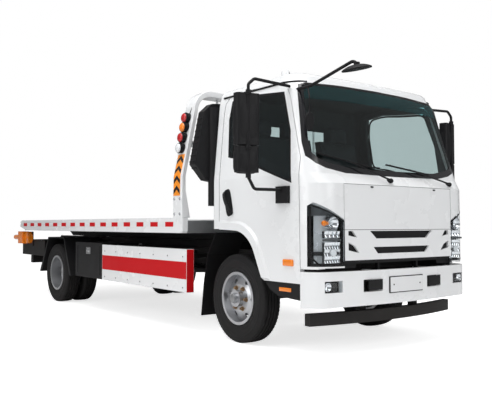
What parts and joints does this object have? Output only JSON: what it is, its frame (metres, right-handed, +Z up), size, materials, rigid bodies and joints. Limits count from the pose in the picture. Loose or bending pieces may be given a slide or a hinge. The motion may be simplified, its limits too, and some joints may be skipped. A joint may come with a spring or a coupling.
{
  "type": "flatbed tow truck",
  "caption": "White tilt-cab recovery truck with a black sliding and tilting flat bed, head guard, side toolboxes and twin rear wheels",
  "frame": {"origin": "centre of the truck's footprint on the ground, midway along its whole length", "axes": "the truck drives toward -Y; its right side is at -X; +Z up, tyres on z = 0"},
  "size_m": [2.8542, 7.45, 2.443],
  "materials": {
    "white_paint": "gloss white coachwork",
    "black_frame": "satin black chassis paint",
    "black_plastic": "moulded black plastic",
    "grey_plastic": "dark grey moulded plastic",
    "grey_metal": "grey painted sheet",
    "engine_metal": "oily castings",
    "deck_aluminium": "worn dark deck paint",
    "window_glass": "clear with a green tinge",
    "clear_lens": "clear lamp cover",
    "amber_lens": "orange lamp lens",
    "seat_cloth": "woven dark grey cloth",
    "wheel_silver": "silver painted steel",
    "chrome_rod": "hard chromed rod",
    "tyre": "black rubber"
  },
  "bodies": {
    "chassis": {"frame_rails": "black_frame", "frame_members": "black_frame", "engine_and_gearbox": "engine_metal", "front_axle": "black_frame", "rear_axle_and_propshaft": "black_frame", "leaf_springs": "black_frame", "fuel_tank": "grey_metal", "silencer": "grey_metal", "side_guards": "grey_metal", "toolboxes": "white_paint", "mudguards": "black_plastic", "tail_beam": "black_frame", "tail_side_plates": "black_frame", "rear_lamps": "amber_lens", "front_bumper": "grey_plastic", "fog_lamps": "clear_lens", "front_underrun_beam": "black_frame", "cab_mounts": "black_frame"},
    "cab": {"cab_steps": "grey_plastic", "cab_roof": "white_paint", "cab_back_wall": "white_paint", "cab_glass": "window_glass", "cab_front_frame": "white_paint", "front_panel_and_grille": "white_paint", "headlamps": "clear_lens", "cab_floor": "black_plastic", "seats": "seat_cloth", "dashboard": "grey_plastic", "steering_wheel": "black_plastic", "front_mirror": "black_plastic", "air_intake": "black_plastic"},
    "door_right": {"door_right": "white_paint", "door_glass_right": "window_glass", "door_mirror_right": "black_plastic"},
    "door_left": {"door_left": "white_paint", "door_glass_left": "window_glass", "door_mirror_left": "black_plastic"},
    "knuckle_right": {"knuckle_right": "black_frame"},
    "knuckle_left": {"knuckle_left": "black_frame"},
    "front_wheel_right": {"front_tyre_right": "tyre", "front_wheel_right": "wheel_silver"},
    "front_wheel_left": {"front_tyre_left": "tyre", "front_wheel_left": "wheel_silver"},
    "rear_wheels_right": {"rear_tyres_right": "tyre", "rear_wheels_right": "wheel_silver"},
    "rear_wheels_left": {"rear_tyres_left": "tyre", "rear_wheels_left": "wheel_silver"},
    "toolbox_lid_right": {"toolbox_lid_right": "white_paint"},
    "toolbox_lid_left": {"toolbox_lid_left": "white_paint"},
    "tilt_frame": {"tilt_frame": "black_frame"},
    "deck": {"deck": "deck_aluminium", "deck_underframe": "black_frame", "deck_front_beam": "grey_metal", "head_guard": "black_frame", "guard_lamps": "amber_lens", "winch": "black_frame"},
    "tilt_cylinder_barrels": {"tilt_cylinder_barrels": "black_frame"},
    "tilt_cylinder_rods": {"tilt_cylinder_rods": "chrome_rod"}
  },
  "joints": [
    {"name": "steer_right", "type": "hinge", "parent": "chassis", "child": "knuckle_right", "pos_m": [-0.715, -2.225, 0.408], "axis": [0, 0, 1], "range_deg": [-30, 30]},
    {"name": "front_wheel_right", "type": "hinge", "parent": "knuckle_right", "child": "front_wheel_right", "pos_m": [-0.84, -2.225, 0.408], "axis": [1, 0, 0], "continuous": true},
    {"name": "rear_wheels_right", "type": "hinge", "parent": "chassis", "child": "rear_wheels_right", "pos_m": [-0.825, 1.95, 0.408], "axis": [1, 0, 0], "continuous": true},
    {"name": "steer_left", "type": "hinge", "parent": "chassis", "child": "knuckle_left", "pos_m": [0.715, -2.225, 0.408], "axis": [0, 0, 1], "range_deg": [-30, 30]},
    {"name": "front_wheel_left", "type": "hinge", "parent": "knuckle_left", "child": "front_wheel_left", "pos_m": [0.84, -2.225, 0.408], "axis": [1, 0, 0], "continuous": true},
    {"name": "rear_wheels_left", "type": "hinge", "parent": "chassis", "child": "rear_wheels_left", "pos_m": [0.825, 1.95, 0.408], "axis": [1, 0, 0], "continuous": true},
    {"name": "cab_tilt", "type": "hinge", "parent": "chassis", "child": "cab", "pos_m": [0, -3.317, 0.682], "axis": [1, 0, 0], "range_deg": [0, 45]},
    {"name": "door_right_hinge", "type": "hinge", "parent": "cab", "child": "door_right", "pos_m": [-1, -3.13, 1.222], "axis": [0, 0, 1], "range_deg": [0, 70]},
    {"name": "door_left_hinge", "type": "hinge", "parent": "cab", "child": "door_left", "pos_m": [1, -3.13, 1.222], "axis": [0, 0, -1], "range_deg": [0, 70]},
    {"name": "toolbox_lid_right_hinge", "type": "hinge", "parent": "chassis", "child": "toolbox_lid_right", "pos_m": [-1.093, 0.735, 0.425], "axis": [0, -1, 0], "range_deg": [0, 90]},
    {"name": "toolbox_lid_left_hinge", "type": "hinge", "parent": "chassis", "child": "toolbox_lid_left", "pos_m": [1.093, 0.735, 0.425], "axis": [0, 1, 0], "range_deg": [0, 90]},
    {"name": "bed_tilt", "type": "hinge", "parent": "chassis", "child": "tilt_frame", "pos_m": [0, 3.465, 0.878], "axis": [-1, 0, 0], "range_deg": [0, 18]},
    {"name": "bed_slide", "type": "slide", "parent": "tilt_frame", "child": "deck", "axis": [0, 1, 0], "range_m": [0, 3]},
    {"name": "cylinder_swing", "type": "hinge", "parent": "chassis", "child": "tilt_cylinder_barrels", "pos_m": [0, 0.105, 0.582], "axis": [1, 0, 0], "range_deg": [0, 10.26]},
    {"name": "cylinder_stroke", "type": "slide", "parent": "tilt_cylinder_barrels", "child": "tilt_cylinder_rods", "axis": [0, 0.9906, 0.1369], "range_m": [0, 0.1326]}
  ],
  "couplings": [
    {"joint": "steer_left", "follows": "steer_right", "ratio": 1},
    {"joint": "cylinder_swing", "follows": "bed_tilt", "ratio": 0.5646},
    {"joint": "cylinder_stroke", "follows": "bed_tilt", "m_per_rad": 0.4189}
  ]
}
